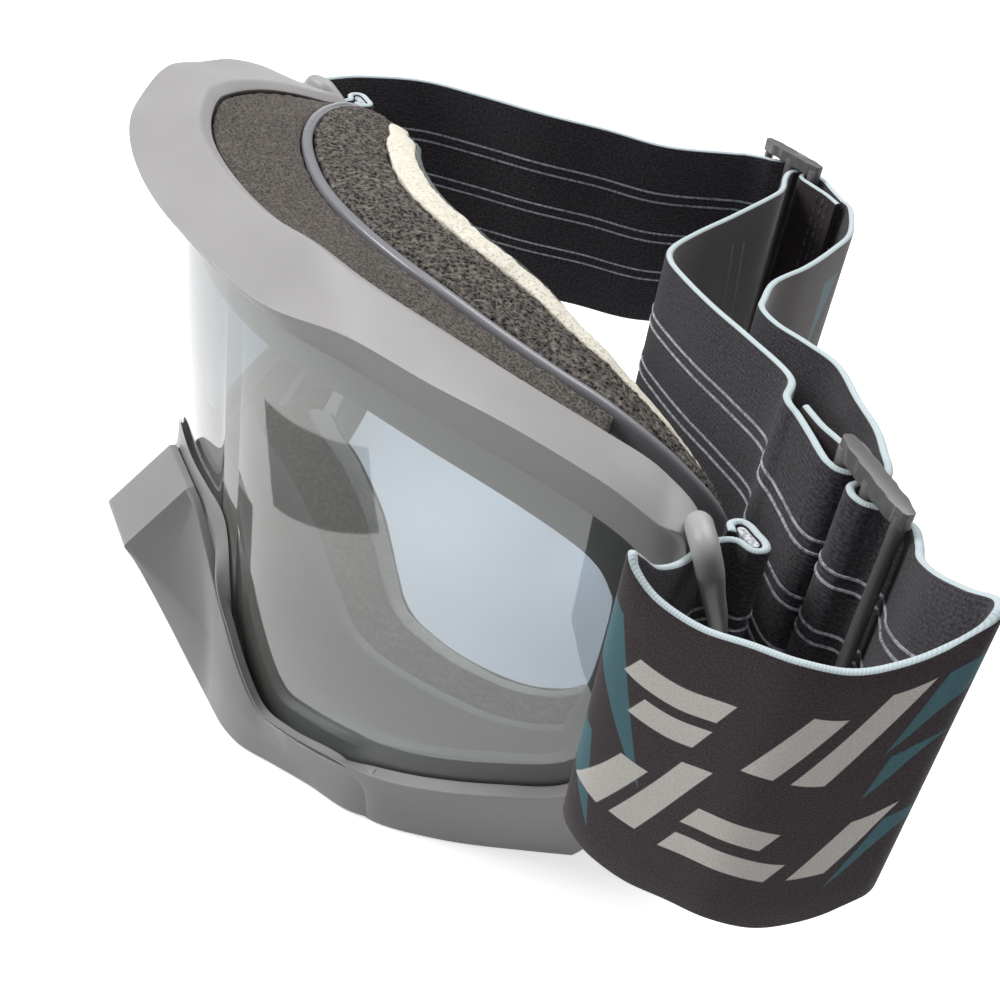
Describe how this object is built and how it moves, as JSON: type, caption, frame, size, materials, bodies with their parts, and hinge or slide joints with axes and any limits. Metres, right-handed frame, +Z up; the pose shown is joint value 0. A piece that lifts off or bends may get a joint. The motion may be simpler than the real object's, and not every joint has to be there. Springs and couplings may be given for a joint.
{
  "type": "watercraft goggles",
  "caption": "Wrap-round goggles for watercraft riding: tinted one-piece lens, beaked nose guard, layered face foam and a wide elastic strap with adjusters.",
  "frame": {"origin": "middle of the part's box in plan, on the ground", "axes": "+Z up, -Y the way the wearer looks, +X to the wearer's left"},
  "size_m": [0.2294, 0.186, 0.104],
  "materials": {
    "frame_grey": "satin",
    "inner_grey": "satin",
    "lens_tint": "polished",
    "vent_foam": "open cells",
    "foam_dark": "coarse cells",
    "foam_cream": "fine cells",
    "fleece": "brushed",
    "rod_white": "plain",
    "webbing": "woven",
    "slider_grey": "satin"
  },
  "bodies": {
    "goggles": {"outer_frame": "frame_grey", "inner_frame": "inner_grey", "lens": "lens_tint", "nose_guard": "frame_grey", "top_vent_foam": "vent_foam", "bottom_vent_foam_left": "vent_foam", "bottom_vent_foam_right": "vent_foam", "face_foam_base": "foam_dark", "face_foam_mid": "foam_cream", "face_fleece": "fleece", "outrigger_left": "frame_grey", "outrigger_right": "frame_grey", "strap_anchor_left": "rod_white", "strap_anchor_right": "rod_white", "strap_left_front": "webbing", "strap_left_back": "webbing", "strap_left_tail": "webbing", "strap_right_front": "webbing", "strap_right_back": "webbing", "strap_right_tail": "webbing"},
    "left_adjuster": {"slider_left": "slider_grey", "strap_left_wrap": "webbing", "strap_right_end": "webbing"},
    "right_adjuster": {"slider_right": "slider_grey", "strap_right_wrap": "webbing", "strap_left_end": "webbing"}
  },
  "joints": [
    {"name": "left_adjuster_slide", "type": "slide", "parent": "goggles", "child": "left_adjuster", "axis": [0.9854, -0.1702, 0], "range_m": [-0.005, 0.005], "deforming": ["strap_left_back", "strap_left_tail", "strap_right_tail"]},
    {"name": "right_adjuster_slide", "type": "slide", "parent": "goggles", "child": "right_adjuster", "axis": [0.9848, 0.1736, 0], "range_m": [-0.005, 0.005], "deforming": ["strap_right_back"]}
  ]
}
